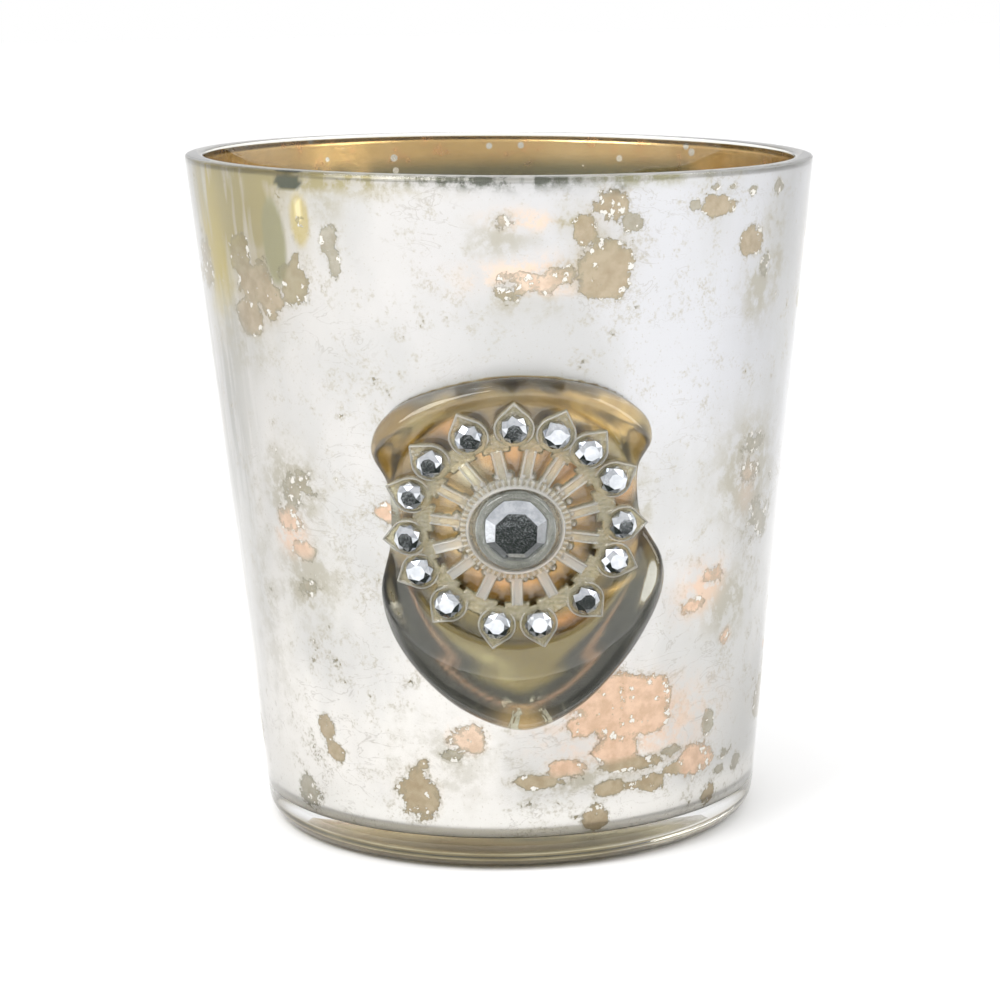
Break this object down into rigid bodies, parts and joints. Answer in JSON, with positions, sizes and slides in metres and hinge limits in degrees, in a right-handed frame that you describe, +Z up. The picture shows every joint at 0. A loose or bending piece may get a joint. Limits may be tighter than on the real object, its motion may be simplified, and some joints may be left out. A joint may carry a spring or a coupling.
{
  "type": "tealight holder",
  "caption": "Tapered mercury-glass tealight holder with a pressed sunburst medallion of faceted stones on a clear glass pad, and a lift-out tealight.",
  "frame": {"origin": "centre of the foot, on the surface it stands on", "axes": "+Z up along the cup's axis, -Y out through the middle of the medallion, +X to the right as seen from the front"},
  "size_m": [0.0748, 0.0761, 0.0807],
  "materials": {
    "clear_glass": "clear blown glass, rim cut flat with ground bevels",
    "silver_coat": "silvering, worn away in patches",
    "gold_lacquer": "glossy gold lacquer over the silvering",
    "pad_glass": "clear glass, fused to the wall",
    "sunburst_glass": "pressed clear glass",
    "stone_crystal": "cut and foil-backed",
    "tin_aluminium": "thin drawn sheet",
    "candle_wax": "smooth paraffin wax",
    "wick_cotton": "braided waxed cotton",
    "tab_steel": "tinned steel"
  },
  "bodies": {
    "holder": {"glass_cup": "clear_glass", "silver_lining": "silver_coat", "gold_lining": "gold_lacquer", "glass_pad": "pad_glass", "sunburst": "sunburst_glass", "centre_stone": "stone_crystal", "petal_stone_01": "stone_crystal", "petal_stone_02": "stone_crystal", "petal_stone_03": "stone_crystal", "petal_stone_04": "stone_crystal", "petal_stone_05": "stone_crystal", "petal_stone_06": "stone_crystal", "petal_stone_07": "stone_crystal", "petal_stone_08": "stone_crystal", "petal_stone_09": "stone_crystal", "petal_stone_10": "stone_crystal", "petal_stone_11": "stone_crystal", "petal_stone_12": "stone_crystal", "petal_stone_13": "stone_crystal", "petal_stone_14": "stone_crystal", "petal_stone_15": "stone_crystal"},
    "tealight": {"tealight_tin": "tin_aluminium", "tealight_wax": "candle_wax", "tealight_wick": "wick_cotton", "wick_tab": "tab_steel"}
  },
  "joints": [
    {"name": "tealight_lift", "type": "slide", "parent": "holder", "child": "tealight", "axis": [0, 0, 1], "range_m": [0, 0.085]}
  ]
}
